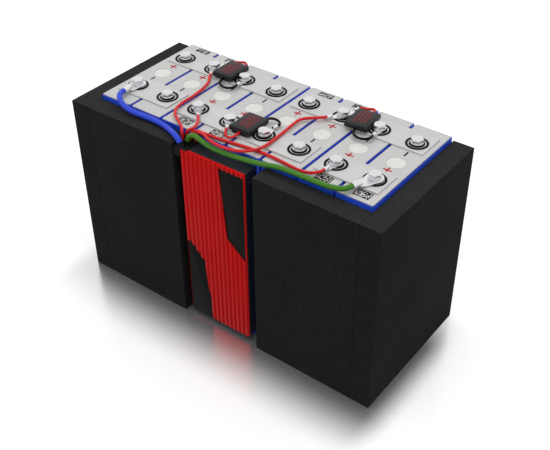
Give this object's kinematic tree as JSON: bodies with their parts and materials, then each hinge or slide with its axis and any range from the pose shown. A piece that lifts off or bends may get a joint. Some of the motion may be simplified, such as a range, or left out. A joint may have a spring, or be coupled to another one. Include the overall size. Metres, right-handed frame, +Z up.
{
  "type": "lithium iron phosphate battery",
  "caption": "Row of blue prismatic battery cells between thick black panels, with joining plates and bolts on top, a red ribbed protection unit in front and wires running to it.",
  "frame": {"origin": "middle of the footprint, on the surface the battery stands on", "axes": "+X along the row of cells to the right seen from the protection unit, +Y away from the protection unit, +Z up"},
  "size_m": [0.3438, 0.1516, 0.2116],
  "materials": {
    "cell_wrap": "smooth blue film, satin",
    "top_sheet": "pale grey, matt",
    "separator": "dark blue sheet, matt",
    "panel_foam": "matt black closed foam, fine grain",
    "plate_metal": "plain satin metal",
    "outer_ring": "black, matt",
    "gasket": "black, matt",
    "washer_steel": "plated, satin",
    "bolt_steel": "plated, bright",
    "lug_metal": "tinned, bright",
    "unit_dark": "black, satin",
    "unit_red": "red, satin",
    "unit_inlay": "black, matt",
    "adhesive_pad": "black foam tape",
    "screw_steel": "blackened",
    "gland_black": "black, matt",
    "balancer_case": "dark grey, matt",
    "wire_red": "smooth red insulation",
    "wire_black": "smooth black insulation",
    "cable_blue": "smooth blue insulation",
    "cable_green": "smooth green insulation"
  },
  "bodies": {
    "root": {"cell_1": "cell_wrap", "cell_2": "cell_wrap", "cell_3": "cell_wrap", "cell_4": "cell_wrap", "cell_5": "cell_wrap", "cell_6": "cell_wrap", "cell_7": "cell_wrap", "cell_8": "cell_wrap", "cell_1_top_sheet": "top_sheet", "cell_2_top_sheet": "top_sheet", "cell_3_top_sheet": "top_sheet", "cell_4_top_sheet": "top_sheet", "cell_5_top_sheet": "top_sheet", "cell_6_top_sheet": "top_sheet", "cell_7_top_sheet": "top_sheet", "cell_8_top_sheet": "top_sheet", "separator_1": "separator", "separator_2": "separator", "separator_3": "separator", "separator_4": "separator", "separator_5": "separator", "separator_6": "separator", "separator_7": "separator", "left_end_panel": "panel_foam", "right_end_panel": "panel_foam", "front_left_panel": "panel_foam", "front_right_panel": "panel_foam", "back_left_plate": "plate_metal", "back_right_plate": "plate_metal", "front_left_plate": "plate_metal", "front_middle_plate": "plate_metal", "front_right_plate": "plate_metal", "terminal_outer_rings": "outer_ring", "terminal_gaskets": "gasket", "terminal_washers": "washer_steel", "terminal_bolts": "bolt_steel", "ring_lugs": "lug_metal", "main_cable_lugs": "lug_metal", "unit_housing": "unit_dark", "unit_front_plate": "unit_red", "unit_front_inlays": "unit_inlay", "unit_mounting_pad": "adhesive_pad", "balancer_pads": "adhesive_pad", "unit_screws": "screw_steel", "unit_cable_gland": "gland_black", "balancer_left": "balancer_case", "balancer_middle": "balancer_case", "balancer_right": "balancer_case", "sense_wire_1": "wire_red", "sense_wire_2": "wire_red", "sense_wire_3": "wire_red", "sense_wire_4": "wire_red", "balancer_left_red_lead": "wire_red", "balancer_middle_red_lead": "wire_red", "balancer_right_red_lead": "wire_red", "balancer_left_black_lead": "wire_black", "balancer_middle_black_lead": "wire_black", "balancer_right_black_lead": "wire_black", "main_negative_cable": "cable_blue", "main_positive_cable": "cable_green"}
  },
  "joints": []
}
